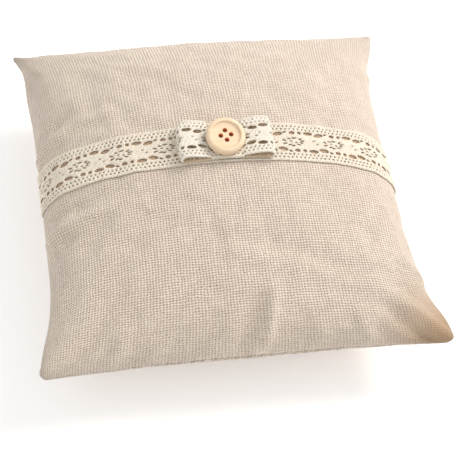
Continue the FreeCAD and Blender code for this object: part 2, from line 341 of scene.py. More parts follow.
def normals_of(grid, sign):
    """Outward directions of a panel grid; sign is 1 for the front and -1 for the back."""
    return unit(np.cross(np.gradient(grid, axis=0), np.gradient(grid, axis=1)) * sign)


def seat_crown(grid):
    """Brings the front cloth under the bow to the CAD cover's height."""
    x, y = grid[..., 0], grid[..., 1]
    u, v = x / CORNER, y / CORNER
    for _ in range(12):
        u, v = x / side_reach(v), y / end_reach(u)
        u, v = np.clip(u, -1, 1), np.clip(v, -1, 1)
    cover = SEAM_Z + FRONT_CROWN * np.sqrt((1 - u * u) * (1 - v * v)) * (1 + CROWN_LEAN * v)
    away = np.hypot(x / SEAT[0], (y - CROWN.y) / SEAT[1])
    out = grid.copy()
    out[..., 2] += (cover - grid[..., 2]) * np.clip(1 - away ** 2, 0, 1) ** 2
    return out


def rest_on_floor(grid, softness=1.2 * MM):
    """Presses what hangs below the floor flat against it."""
    grid = grid.copy()
    z = grid[..., 2]
    grid[..., 2] = (z + np.sqrt(z * z + softness ** 2)) / 2 - softness * 0.02
    grid[..., 2] = np.maximum(grid[..., 2], 0)
    return grid


def blurred_grid(grid, width):
    """Gaussian blur of a grid that carries straight slopes on past its edges."""
    kernel, reach = bell(width)
    for axis in (0, 1):
        g = np.moveaxis(grid, axis, 0)
        g = np.concatenate([2 * g[:1] - g[reach:0:-1], g, 2 * g[-1:] - g[-2:-reach - 2:-1]])
        grid = np.moveaxis(sum(k * g[i:i + grid.shape[axis]] for i, k in enumerate(kernel)), 0, axis)
    return grid


def fine_part(grid):
    return grid - blurred_grid(grid, WRINKLE_WIDTH / PANEL * CELLS)


def creases(flat):
    """Height of the pressed-in folds at the front panel's flat places."""
    total = np.zeros(flat.shape[:2])
    for (ax, ay), (bx, by), width, height in CREASES:
        a, b = np.array([ax, ay]) * MM, np.array([bx, by]) * MM
        along = ((flat - a) @ (b - a)) / ((b - a) @ (b - a))
        foot = a + np.clip(along, 0, 1)[..., None] * (b - a)
        away = np.linalg.norm(flat - foot, axis=-1)
        fade = smooth_step(-0.15, 0.2, along) * smooth_step(1.15, 0.6, along)
        total += height * MM * np.exp(-(away / (width * MM)) ** 2) * fade
    return total


def rounded_tips(grid, flat):
    """Blunts the four corner tips, as a seam turned over its own allowance leaves them."""
    beyond = np.abs(flat).sum(-1) - (PANEL - TIP_CUT)
    inward = -np.sign(flat) * (np.maximum(beyond, 0) * TIP_PULL)[..., None]
    out = grid.copy()
    out[..., :2] += inward
    return out


def settled(grid, flat):
    """The near side pushed out and down by the stuffing, which has slipped towards it."""
    u, v = flat[..., 0] * 2 / PANEL, flat[..., 1] * 2 / PANEL
    share = smooth_step(0.25, 1.0, -v) * (1 - u ** 4)
    out = grid.copy()
    out[..., 1] -= NEAR_BULGE * share
    for side, at, shift in SEAM_SHIFTS:
        out[..., 0] += shift * MM * np.exp(-((v - at) / 0.16) ** 2) * np.clip(side * u, 0, 1) ** 4
    out[..., 2] -= NEAR_SAG * share * smooth_step(0.5, 1.0, -v) * np.minimum(grid[..., 2] / SEAM_Z, 1)
    return out


def draw_in_seam(front, back, rim):
    """Sinks the seam into a narrow groove and brings both panels' rims to one line."""
    outward = normals_of(front, 1) + normals_of(back, -1)
    outward[..., 2] = 0
    outward = unit(outward, 1e-9)
    for grid in (front, back):
        for edge in (np.s_[0, :], np.s_[-1, :], np.s_[:, 0], np.s_[:, -1]):
            grid[edge] -= outward[edge] * SEAM_GROOVE
    front[rim] = back[rim] = (front[rim] + back[rim]) / 2


def make_cushion():
    """Front and back grids of the finished cushion, and their flat coordinates."""
    front, back, flat = start_shape()
    solved = relax_cloth(front, back, flat)
    bare = start_shape(lumpy=False)[:2]
    wrinkles = [fine_part(s) - fine_part(b) for s, b in zip(solved, bare)]
    # the panels share one set of wrinkles at the seam, and each has its own from 9 mm inwards
    shares = np.abs(flat) * 2 / PANEL
    open_field = smooth_step(0, 9 * MM, (1 - shares.max(-1)) * PANEL / 2)[..., None]
    at_seam = sum(wrinkles) / 2
    front, back = [b + WRINKLE_GAIN * (w * open_field + at_seam * (1 - open_field))
                   for b, w in zip(bare, wrinkles)]
    front, back, flat = refined(front), refined(back), refined(flat)
    front, back = settled(front, flat), settled(back, flat)
    from_seam = PANEL / 2 - np.abs(flat).max(-1)
    back[..., 1] += (BACK_TUCK * smooth_step(0, 14 * MM, from_seam)
                     * smooth_step(0.25, 0.8, -flat[..., 1] * 2 / PANEL))
    folds = creases(flat) * smooth_step(0, 5 * MM, from_seam)
    front = rounded_tips(front + normals_of(front, 1) * folds[..., None], flat)
    back = rounded_tips(back, flat)
    front = seat_crown(front)
    back = rest_on_floor(back)
    draw_in_seam(front, back, from_seam < PANEL * 1e-6)
    return front, back, flat


def panel_object(name, grid, sign, flat):
    """One cover as a closed skin: the cloth's outside, its inside and a narrow rim in the seam."""
    n, m = grid.shape[:2]
    inside = grid - normals_of(grid, sign) * CLOTH
    numbers = np.arange(n * m).reshape(n, m)
    outer = quads_of(numbers)
    inner = outer[:, ::-1] + n * m
    loop = edge_loop(numbers)
    following = np.roll(loop, -1)
    rim = np.stack([following, loop, loop + n * m, following + n * m], -1)
    faces = np.concatenate([outer, inner, rim])
    if sign < 0:
        faces = faces[:, ::-1]
    points = np.concatenate([grid.reshape(-1, 3), inside.reshape(-1, 3)])
    return new_object(name, points, faces, np.concatenate([flat.reshape(-1, 2)] * 2))


# ---------------------------------------------------------------- lace ribbon
def lace_holes():
    """Holes of one repeat as (along, across, half length, half width, turn in degrees)."""
    rng = np.random.default_rng(3)
    holes = []
    pitch = REPEAT / EDGE_PAIRS
    eyelets = ((0.0, 5.1, 2.45, 0.98, 0), (5.6, 4.2, 2.4, 1.02, 9), (9.3, 5.2, 1.0, 0.42, 18),
               (12.9, 5.0, 1.4, 0.86, 3), (16.7, 5.0, 0.95, 0.78, -5))
    for side, shift in ((1, 0.0), (-1, 1.6)):
        for k in range(EDGE_PAIRS):
            sizes = rng.uniform(0.32, 0.46, 4)
            holes.append(((k + 0.25) * pitch, side * 8.75, sizes[0] * 1.15, sizes[1] * 0.85, side * 25))
            holes.append(((k + 0.75) * pitch, side * 7.1, sizes[2] * 1.15, sizes[3] * 0.85, side * 25))
        for at, high, length, width, turn in eyelets:
            jitter = rng.uniform(-0.25, 0.25, 2)
            across = side * (high + jitter[1] * 0.6)
            holes.append((at + shift + jitter[0], across, length, width, side * turn))
    petals = 10
    for k in range(petals):
        angle = math.radians(360 / petals * k + rng.uniform(8, 26))
        reach = rng.uniform(0.82, 1.12)
        at, high = ROSETTE_AT + 4.7 * reach * math.cos(angle), 2.2 * reach * math.sin(angle)
        turn = 32 * math.sin(angle) * math.cos(angle)
        holes.append((at, high, rng.uniform(0.85, 1.4), rng.uniform(0.28, 0.42), turn))
    for at, high in ((11.9, 0.35), (14.6, -0.4), (2.6, 0.9), (4.4, -0.8)):
        holes.append((at, high, rng.uniform(0.6, 1.0), rng.uniform(0.22, 0.3), rng.uniform(-15, 15)))
    return holes


LACE_HOLES = lace_holes()


def from_motif(u, at):
    """Distance along the ribbon from the nearest repeat of a motif."""
    return (u - at + REPEAT / 2) % REPEAT - REPEAT / 2


def lace_field(u, v, half_width):
    """Distance to the nearest edge of the cloth: positive in thread, negative in a hole."""
    nearest = half_width + SCALLOP * np.cos(2 * np.pi * u / (REPEAT / 20)) - np.abs(v)
    for at, high, length, width, turn in LACE_HOLES:
        du, dv = from_motif(u, at), v - high
        c, s = math.cos(math.radians(turn)), math.sin(math.radians(turn))
        along, over = (c * du + s * dv) / length, (c * dv - s * du) / width
        reach = np.sqrt(along ** 2 + over ** 2)
        slope = np.sqrt((along / length) ** 2 + (over / width) ** 2) / np.maximum(reach, 1e-6)
        nearest = np.minimum(nearest, (reach - 1) / np.maximum(slope, 1e-6))
    return nearest


def lace_relief(u, v):
    """Raised cords and plaits, in mm above the cloth's top."""
    relief = np.zeros_like(u)
    for line, height in ((10.1, 0.28), (7.95, 0.12), (6.1, 0.18)):
        twist = 1 + 0.35 * np.cos(2 * np.pi * (u + np.abs(v)) / 1.05)
        relief = np.maximum(relief, height * twist * np.exp(-((np.abs(v) - line) / 0.4) ** 2))
    du = from_motif(u, ROSETTE_AT)
    ring = np.hypot(du / 6.2, v / 3.3)
    relief = np.maximum(relief, 0.16 * np.exp(-((ring - 1) / 0.09) ** 2))
    relief = np.maximum(relief, 0.2 * np.exp(-(np.hypot(du, v) / 1.0) ** 2))
    diamond = np.exp(-((np.abs(from_motif(u, DIAMOND_AT)) / 4.5 + np.abs(v) / 4.2) ** 4))
    plait = 0.5 + 0.5 * np.cos(2 * np.pi * (u + v) / 1.1) * np.cos(2 * np.pi * (u - v) / 1.1)
    return relief + 0.16 * (0.4 + diamond) * plait


def pulled_to_edges(u, v, half, border, at_end):
    """Moves the outermost points of the kept cells onto the nearest hole's or ribbon's edge."""
    field = lace_field(u, v, half)
    eps = 0.02
    slope_u = (lace_field(u + eps, v, half) - lace_field(u - eps, v, half)) / (2 * eps)
    slope_v = (lace_field(u, v + eps, half) - lace_field(u, v - eps, half)) / (2 * eps)
    steep = np.maximum(slope_u ** 2 + slope_v ** 2, 0.05)
    shift = np.where(border, np.clip(field, -LACE_STEP, LACE_STEP), 0)
    return u - np.where(at_end, 0, shift * slope_u / steep), v - shift * slope_v / steep


def lace_object(name, place, start, end, flip=False):
    """Ribbon of pierced lace; place(u, v) gives points and normals for flat coordinates in metres."""
    half = LACE_WIDTH / 2 / MM
    margin = 0.2
    columns = max(2, round((end - start) / MM / LACE_STEP))
    rows = round(2 * (half + margin) / LACE_STEP)
    u, v = np.meshgrid(np.linspace(start / MM, end / MM, columns + 1),
                       np.linspace(-half - margin, half + margin, rows + 1), indexing="ij")
    field = lace_field(u, v, half)
    keep = np.logical_and.reduce(cell_corners(field > -0.55 * LACE_STEP))
    keep &= sum(cell_corners(field)) > 0
    count = np.zeros(field.shape, int)
    for corner in cell_corners(count):
        corner += keep
    used = count > 0
    at_end = np.zeros_like(used)
    at_end[[0, -1]] = True
    border = used & (count < np.where(at_end, 2, 4))
    u, v = pulled_to_edges(u, v, half, border, at_end)
    rounding = np.sqrt(np.clip(np.maximum(lace_field(u, v, half), 0) / ROUNDED, 0.04, 1))
    top = LACE_THICK / MM * 0.5 * rounding + lace_relief(u, v) * rounding
    bottom = -LACE_THICK / MM * 0.5 * rounding
    points, normal = place(u * MM, v * MM)
    number = np.full(used.shape, -1)
    total = int(used.sum())
    number[used] = np.arange(total)
    upper = points + normal * (top * MM)[..., None]
    lower = points + normal * (bottom * MM)[..., None]
    quads = quads_of(number)[keep.ravel()]
    edges = np.concatenate([quads[:, [k, (k + 1) % 4]] for k in range(4)])
    code = edges[:, 0] * (total + 1) + edges[:, 1]
    back_code = edges[:, 1] * (total + 1) + edges[:, 0]
    first, second = edges[~np.isin(code, back_code)].T
    walls = np.stack([second, first, first + total, second + total], -1)
    faces = np.concatenate([quads, quads[:, ::-1] + total, walls])
    if flip:
        faces = faces[:, ::-1]
    flat = np.stack([u, v], -1)[used] * MM
    return new_object(name, np.concatenate([upper[used], lower[used]]), faces, np.concatenate([flat, flat]))


def sampled(grid, x, y):
    """Smooth value of a panel grid at flat coordinates x, y."""
    cells = grid.shape[0] - 1
    return between(grid, grid_place(x / PANEL + 0.5, cells), grid_place(y / PANEL + 0.5, cells))


def blurred(values, width):
    """Gaussian blur of rows along the first axis; width in samples."""
    kernel, reach = bell(width)
    padded = np.concatenate([np.repeat(values[:1], reach, 0), values, np.repeat(values[-1:], reach, 0)])
    return sum(k * padded[i:i + len(values)] for i, k in enumerate(kernel))


def make_band(front):
    """Lace ribbon drawn over the front cover from side seam to side seam."""
    columns, rows, overlap = 400, 60, 1.04
    xs = np.linspace(-PANEL / 2, PANEL / 2, columns + 1)
    vs = np.linspace(-LACE_WIDTH * overlap / 2, LACE_WIDTH * overlap / 2, rows + 1)
    x, v = np.meshgrid(xs, vs, indexing="ij")
    y = BAND_Y - BAND_SKEW * x / (PANEL / 2) + v
    ground = sampled(front, x, y)
    normal = unit(sampled(normals_of(front, 1), x, y))
    taut = blurred(ground, 7)
    bridge = np.maximum(((taut - ground) * normal).sum(-1), 0)
    bridge = blurred(bridge, 3) * smooth_step(PANEL / 2, PANEL / 2 - 6 * MM, np.abs(x))
    surface = ground + normal * (0.12 * MM + LACE_THICK / 2 + bridge)[..., None]

    def place(u, v):
        row, column = grid_place(u / PANEL + 0.5, columns), grid_place(v / (LACE_WIDTH * overlap) + 0.5, rows)
        return between(surface, row, column), unit(between(normal, row, column))

    return lace_object("lace_band_ribbon", place, -PANEL / 2, PANEL / 2)


# ---------------------------------------------------------------- bow
def crown_drop(x):
    """How far the front cover falls away at x from its crown."""
    side = CORNER - SIDE_PULL_IN
    return FRONT_CROWN * (1 - np.sqrt(1 - (x / side) ** 2))


def spline_through(points, per_span=24):
    """Catmull-Rom curve through points, with its running length."""
    p = np.array(points)
    p = np.concatenate([2 * p[:1] - p[1:2], p, 2 * p[-1:] - p[-2:-1]])
    t = np.linspace(0, 1, per_span, endpoint=False)[:, None]
    out = []
    for a, b, c, d in zip(p[:-3], p[1:-2], p[2:-1], p[3:]):
        out.append(0.5 * (2 * b + (c - a) * t + (2 * a - 5 * b + 4 * c - d) * t ** 2
                          + (3 * b - a - 3 * c + d) * t ** 3))
    curve = np.concatenate(out + [p[-2:-1]])
    length = np.concatenate([[0], np.cumsum(np.linalg.norm(np.diff(curve, axis=0), axis=1))])
    return curve, length


def bow_path(side):
    """Middle line of a loop from the cut, under, round the fold and back over the top; x out, z up, mm."""
    fold, rise = BOW_FOLD[side], BOW_RISE[side]
    shape = [(PINCH, LOWER_LAYER), (10.5, 0.75), (15, 0.8), (19, 0.85), (fold - 1.0, 1.15),
             (fold, 0.8 + rise / 2), (fold - 1.1, 0.8 + 0.97 * rise), (19, 0.9 + rise), (16, 0.6 + rise),
             (12.5, 0.1 + 0.85 * rise), (10, 2.3), (PINCH, UPPER_LAYER)]
    return [(x, z - float(crown_drop(x * MM)) / MM) for x, z in shape]


def bow_placer(curve, length, side, slip=0.0):
    """Turns flat ribbon coordinates into places on a bow path, in the leaning frame on top of the band."""
    tangent = np.gradient(curve, axis=0)
    tangent /= np.linalg.norm(tangent, axis=1, keepdims=True)
    axis_x, axis_y, axis_z = np.array([side, 0, 0]), np.array(CROWN_BACK), np.array(CROWN_UP)

    def place(u, v):
        at = [np.interp(u / MM, length, curve[:, k]) * MM for k in range(2)]
        along = [np.interp(u / MM, length, tangent[:, k]) for k in range(2)]
        pinch = 1 - 0.05 * np.exp(-(at[0] / (9 * MM)) ** 2)
        upper = smooth_step(0.45, 0.6, u / MM / length[-1])
        rounding = np.where(v > 0, TIP_ROUNDING[side][0], TIP_ROUNDING[side][1]) * MM
        far_out = smooth_step(13 * MM, BOW_TIP, at[0])
        out_x = at[0] - rounding * np.clip(np.abs(v) / (LACE_WIDTH / 2), 0, 1) ** 6 * far_out
        v = v * pinch + upper * slip * MM
        points = (np.array(CROWN) + out_x[..., None] * axis_x + v[..., None] * axis_y
                  + at[1][..., None] * axis_z)
        return points, unit(along[1][..., None] * axis_x - along[0][..., None] * axis_z)

    return place


def make_bow():
    """The left and right loops and the two layers under the button, all of the band's lace."""
    pieces = []
    for side, name in ((-1, "left"), (1, "right")):
        curve, length = spline_through(bow_path(side))
        place = bow_placer(curve, length, side, LAYER_SLIP)
        pieces.append(lace_object(f"bow_{name}_ribbon", place, 0, length[-1] * MM, flip=side > 0))
    for layer, height in (("lower", LOWER_LAYER), ("upper", UPPER_LAYER)):
        curve, length = spline_through([(-PINCH, height), (0, height), (PINCH, height)])
        place = bow_placer(curve, length, 1)
        pieces.append(lace_object(f"bow_centre_{layer}", place, 0, length[-1] * MM, flip=True))
    return pieces


# ---------------------------------------------------------------- small soft pieces
def threads_object(name, paths, radius):
    """Many short closed threads in one piece, six-sided, with two quads across each end."""
    sides = 6
    vertices, faces = [], []
    for path in paths:
        points = np.asarray(path, float)
        tangent = np.gradient(points, axis=0)
        tangent /= np.linalg.norm(tangent, axis=1, keepdims=True)
        first = np.cross(tangent, np.array([0.3, 0.2, 0.93]))
        first /= np.linalg.norm(first, axis=1, keepdims=True)
        second = np.cross(tangent, first)
        base = len(vertices)
        for p, f, s, r in zip(points, first, second, [0.5] + [1.0] * (len(points) - 2) + [0.5]):
            for k in range(sides):
                turn = 2 * math.pi * k / sides
                vertices.append(p + (f * math.cos(turn) + s * math.sin(turn)) * radius * r)
        for k in range(len(points) - 1):
            for s in range(sides):
                a = base + k * sides + s
                b = base + k * sides + (s + 1) % sides
                faces.append((a, b, b + sides, a + sides))
        for ring, order in ((0, -1), (len(points) - 1, 1)):
            start = base + ring * sides
            for corners in ((0, 1, 2, 3), (0, 3, 4, 5)):
                faces.append(tuple(start + corner for corner in corners[::order]))
    return new_object(name, np.array(vertices), np.array(faces))


def make_seam_stitches(front):
    """Lockstitch showing as short dashes at the bottom of the seam groove."""
    line = edge_loop(front)
    line = np.concatenate([line, line[:1]])
    length = np.concatenate([[0], np.cumsum(np.linalg.norm(np.diff(line, axis=0), axis=1))])
    count = int(length[-1] / STITCH_PITCH)
    paths = []
    for k in range(count):
        at = (k + np.linspace(0.12, 0.82, 4)) * length[-1] / count
        paths.append(np.stack([np.interp(at, length, line[:, c]) for c in range(3)], -1))
    return threads_object("seam_stitches", paths, SEAM_THREAD_RADIUS)


def make_closing_stitches(front, back):
    """Slanted hand stitches over the near seam, where the stuffing went in."""
    n = front.shape[0] - 1
    f_normal, b_normal = normals_of(front, 1), normals_of(back, -1)
    proud, bulge, sunk = 0.15 * MM, 0.12 * MM, 0.4 * MM
    paths = []
    for k in range(CLOSING_STITCHES):
        x = (k - CLOSING_STITCHES // 2) * CLOSING_PITCH
        i = round((x / PANEL + 0.5) * n)
        low = back[i, 1] + b_normal[i, 1] * proud
        high = front[i + 1, 1] + f_normal[i + 1, 1] * proud
        out = (low + high) / 2 + (f_normal[i, 1] + b_normal[i, 1]) * bulge
        paths.append([low - b_normal[i, 1] * sunk, low, out, high, high - f_normal[i + 1, 1] * sunk])
    return threads_object("closing_slip_stitches", paths, CLOSING_THREAD_RADIUS)


def make_fill(front, back):
    """Tufted stuffing inside the covers."""
    rng = np.random.default_rng(11)
    grids = []
    for grid, sign in ((front, 1), (back, -1)):
        normal = normals_of(grid, sign)
        coarse = (grid - normal * FILL_INSET)[::FILL_STEP, ::FILL_STEP].copy()
        tufts = rng.uniform(0, 0.8 * MM, coarse.shape[:2])
        coarse -= normal[::FILL_STEP, ::FILL_STEP] * tufts[..., None]
        coarse[..., :2] *= 0.955
        coarse[..., 2] = SEAM_Z + (coarse[..., 2] - SEAM_Z) * 0.97
        grids.append(coarse)
    top, bottom = grids
    upper, lower, rim = joined_numbers(top.shape[0])
    top[rim, 2] = SEAM_Z
    points = np.concatenate([top.reshape(-1, 3), bottom[~rim]])
    return new_object("stuffing", points, np.concatenate([quads_of(upper), quads_of(lower)[:, ::-1]]))


# ---------------------------------------------------------------- materials
class Field:
    """A value in a node tree that can be written as arithmetic."""

    def __init__(self, tree, socket):
        self.tree, self.socket = tree, socket

    def math(self, operation, *others):
        node = self.tree.nodes.new("ShaderNodeMath")
        node.operation = operation
        self.tree.links.new(self.socket, node.inputs[0])
        for place, other in enumerate(others, 1):
            if isinstance(other, Field):
                self.tree.links.new(other.socket, node.inputs[place])
            else:
                node.inputs[place].default_value = other
        return Field(self.tree, node.outputs[0])

    def __add__(self, other):
        return self.math("ADD", other)

    def __sub__(self, other):
        return self.math("SUBTRACT", other)

    def __mul__(self, other):
        return self.math("MULTIPLY", other)

    def floor(self):
        return self.math("FLOOR")

    def cos(self):
        return self.math("COSINE")

    def max(self, other):
        return self.math("MAXIMUM", other)

    def squared(self):
        return self.math("MULTIPLY", self)

    def ramp(self, low, high, out_low=0.0, out_high=1.0):
        node = self.tree.nodes.new("ShaderNodeMapRange")
        node.interpolation_type = "SMOOTHSTEP"
        self.tree.links.new(self.socket, node.inputs["Value"])
        for name, value in (("From Min", low), ("From Max", high), ("To Min", out_low), ("To Max", out_high)):
            node.inputs[name].default_value = value
        return Field(self.tree, node.outputs["Result"])


class Finish:
    """A Principled material and the small procedural parts it is made from."""

    def __init__(self, name, roughness, **constants):
        self.material = bpy.data.materials.new(name)
        self.material.use_nodes = True
        self.tree = self.material.node_tree
        self.shader = self.tree.nodes["Principled BSDF"]
        self.shader.inputs["Roughness"].default_value = roughness
        for socket, value in constants.items():
            self.shader.inputs[socket.replace("_", " ")].default_value = value

    def flat_place(self):
        """Flat cloth coordinates in millimetres, along and across, and their vector."""
        node = self.tree.nodes.new("ShaderNodeUVMap")
        node.uv_map = "flat"
        return self.in_millimetres(node.outputs[0])

    def object_place(self):
        """Object coordinates in millimetres and their vector."""
        node = self.tree.nodes.new("ShaderNodeTexCoord")
        return self.in_millimetres(node.outputs["Object"])

    def in_millimetres(self, socket):
        scaled = self.tree.nodes.new("ShaderNodeVectorMath")
        scaled.operation = "SCALE"
        scaled.inputs["Scale"].default_value = 1 / MM
        self.tree.links.new(socket, scaled.inputs[0])
        parts = self.tree.nodes.new("ShaderNodeSeparateXYZ")
        self.tree.links.new(scaled.outputs[0], parts.inputs[0])
        return [Field(self.tree, parts.outputs[k]) for k in range(3)] + [scaled.outputs[0]]

    def joined(self, x, y, z=None):
        node = self.tree.nodes.new("ShaderNodeCombineXYZ")
        for place, value in enumerate((x, y, z)):
            if value is not None:
                self.tree.links.new(value.socket, node.inputs[place])
        return node.outputs[0]

    def noise(self, vector, scale, detail=2.0, roughness=0.5):
        """Noise over millimetres, from about -1 to 1."""
        node = self.tree.nodes.new("ShaderNodeTexNoise")
        node.inputs["Scale"].default_value = scale
        node.inputs["Detail"].default_value = detail
        node.inputs["Roughness"].default_value = roughness
        self.tree.links.new(vector, node.inputs["Vector"])
        return (Field(self.tree, node.outputs[0]) - 0.5) * 2.0

    def mixed(self, share, first, second):
        """Colour between two, each a tuple or a socket."""
        node = self.tree.nodes.new("ShaderNodeMix")
        node.data_type = "RGBA"
        self.tree.links.new(share.socket, node.inputs[0])
        for place, value in ((6, first), (7, second)):
            if isinstance(value, tuple):
                node.inputs[place].default_value = (*value, 1)
            else:
                self.tree.links.new(value, node.inputs[place])
        return node.outputs[2]

    def colour(self, socket):
        self.tree.links.new(socket, self.shader.inputs["Base Color"])

    def rough(self, field):
        self.tree.links.new(field.socket, self.shader.inputs["Roughness"])

    def bump(self, height, distance, strength=1.0):
        node = self.tree.nodes.new("ShaderNodeBump")
        node.inputs["Distance"].default_value = distance
        node.inputs["Strength"].default_value = strength
        self.tree.links.new(height.socket, node.inputs["Height"])
        self.tree.links.new(node.outputs[0], self.shader.inputs["Normal"])


def linen(name, laced):
    """Coarse plain weave: slubby threads passing over and under, with painted shade in the gaps between them
    and painted highlights where the threads rise.
    """
    finish = Finish(name, 0.92, Sheen_Weight=0.25, Sheen_Roughness=0.6, Specular_IOR_Level=0.2)
    x, y, _, vector = finish.flat_place()
    swapped = finish.joined(y, x)
    wander_x = finish.noise(vector, 0.09) * 0.6 + finish.noise(vector, 0.5) * 0.48
    wander_y = finish.noise(swapped, 0.08) * 0.6 + finish.noise(swapped, 0.55) * 0.42
    warp = (x + wander_x) * (1 / WARP_PITCH)
    weft = (y + wander_y) * (1 / WEFT_PITCH)
    warp_number, weft_number = warp.floor(), weft.floor()
    slub_warp = finish.noise(finish.joined(warp_number * 7.31, y * 0.12), 1.0)
    slub_weft = finish.noise(finish.joined(x * 0.12, weft_number * 5.77), 1.0)

    def profile(position, number, slub):
        """Round thread: 1 on its line, 0 at its side, below 0 in the gap."""
        off = position - number - 0.5
        return (slub * -0.5 + 1.0) * off.squared() * -5.6 + 1.0

    warp_profile, weft_profile = profile(warp, warp_number, slub_warp), profile(weft, weft_number, slub_weft)
    warp_over = ((weft - 0.5 + warp_number) * math.pi).cos()
    weft_over = ((warp + 0.5 + weft_number) * math.pi).cos()
    fibres = finish.noise(finish.joined(x, y), 3.2, 4, 0.65)
    height = (warp_profile + warp_over * 0.55).max(weft_profile + weft_over * 0.55) + fibres * 0.16
    each_gap = finish.noise(finish.joined((warp - 0.5).floor() * 3.7, (weft - 0.5).floor() * 5.3), 1.0)
    closed = warp_profile.max(weft_profile)
    patchy = finish.noise(vector, 0.035, 3)
    threads = slub_warp * 0.5 + slub_weft * 0.5
    # gap is painted shade in the openings between threads; lit paints highlights on the raised threads and
    # shade where they dip, mixed with the threads' own uneven tone
    pale, dusk, gap = (0.785, 0.675, 0.57), (0.60, 0.49, 0.395), (0.20, 0.12, 0.07)
    lit = (height - 1.15) * 0.7 + patchy * 0.25 + threads * 0.4 + fibres * 0.25
    thread_colour = finish.mixed(lit.ramp(-0.65, 0.55), dusk, pale)
    shade = finish.mixed((closed + each_gap * 0.7).ramp(-0.35, 0.42), gap, thread_colour)
    if laced:
        corner = PANEL / 2 / MM
        # the front panel turns darker and warmer towards its near right corner tip
        from_tip = ((x - corner).squared() + (y + corner).squared()).math("SQRT")
        shade = finish.mixed(from_tip.ramp(12.0, 52.0, 0.95, 0.0), shade, NEAR_TIP_TONE)
        # painted shade on the linen under the lace band
        from_band = (y + x * (BAND_SKEW / MM / corner) - BAND_Y / MM).math("ABSOLUTE")
        shade = finish.mixed(from_band.ramp(8.9, 10.4, 0.8, 0.0), shade, UNDER_LACE_SHADE_TONE)
    finish.colour(shade)
    finish.rough(height.ramp(0.2, 1.4, 0.98, 0.84))
    finish.bump(height, 0.0004, 0.9)
    return finish.material


def lace(name, folded):
    """Natural cotton lace: soft yarns crossing the ribbon, with painted warm shade on the lower layer of the
    folded bow.
    """
    finish = Finish(name, 0.85, Sheen_Weight=0.08, Sheen_Roughness=0.5, Specular_IOR_Level=0.25)
    x, y, _, vector = finish.flat_place()
    yarn_a = ((x + finish.noise(vector, 0.5) * 0.25) * (2 * math.pi / 0.62)).cos()
    yarn_b = ((y + finish.noise(vector, 0.5) * 0.25) * (2 * math.pi / 0.55)).cos()
    fuzz = finish.noise(vector, 4.0, 4, 0.65)
    weave = yarn_a * 0.45 + yarn_b * 0.45 + fuzz * 0.5
    tone = weave * 0.6 + finish.noise(vector, 0.12, 2) * 0.5
    specks = finish.noise(vector, 1.1, 2) * 0.7 + yarn_a * 0.25 + yarn_b * 0.25
    if folded:
        yarn = finish.mixed(tone.ramp(-1.2, 0.4), (0.96, 0.85, 0.70), (1.0, 0.945, 0.835))
        speckled = finish.mixed(specks.ramp(-0.8, -0.3), (0.70, 0.51, 0.32), yarn)
        # painted warm shade on each loop's lower layer, under the upper layer
        speckled = finish.mixed(x.ramp(13.5, 16.0, 0.75, 0.0), speckled, (0.80, 0.585, 0.36))
    else:
        yarn = finish.mixed(tone.ramp(-1.2, 0.5), (0.91, 0.78, 0.615), (1.0, 0.925, 0.795))
        speckled = finish.mixed(specks.ramp(-0.62, -0.12), (0.64, 0.435, 0.255), yarn)
    finish.colour(speckled)
    finish.rough(weave.ramp(-1, 1, 0.93, 0.8))
    finish.bump(weave + specks, 0.0002, 0.8)
    return finish.material


def thread():
    """Twisted sewing cotton."""
    finish = Finish("thread", 0.75, Sheen_Weight=0.2, Specular_IOR_Level=0.3)
    x, y, z, vector = finish.object_place()
    twist = ((x + y + z) * (2 * math.pi / 0.5)).cos()
    fuzz = finish.noise(vector, 2.5, 3)
    tone = (twist * 0.5 + fuzz * 0.5).ramp(-1, 1)
    finish.colour(finish.mixed(tone, (0.52, 0.45, 0.35), (0.78, 0.71, 0.59)))
    finish.rough(fuzz.ramp(-1, 1, 0.85, 0.68))
    finish.bump(twist, 0.00008, 0.8)
    return finish.material


def stuffing_fibre():
    """White polyester wadding."""
    finish = Finish("stuffing_fibre", 0.95, Sheen_Weight=0.4, Specular_IOR_Level=0.2)
    x, y, z, vector = finish.object_place()
    tufts = finish.noise(vector, 0.12, 4, 0.6)
    hairs = finish.noise(finish.joined(x * 0.4, y * 2.5, z), 0.9, 4, 0.7)
    finish.colour(finish.mixed((tufts + hairs * 0.5).ramp(-0.8, 0.8), (0.72, 0.71, 0.68), (0.92, 0.92, 0.90)))
    finish.rough(hairs.ramp(-1, 1, 0.98, 0.85))
    finish.bump(tufts + hairs * 0.5, 0.0012, 0.8)
    return finish.material


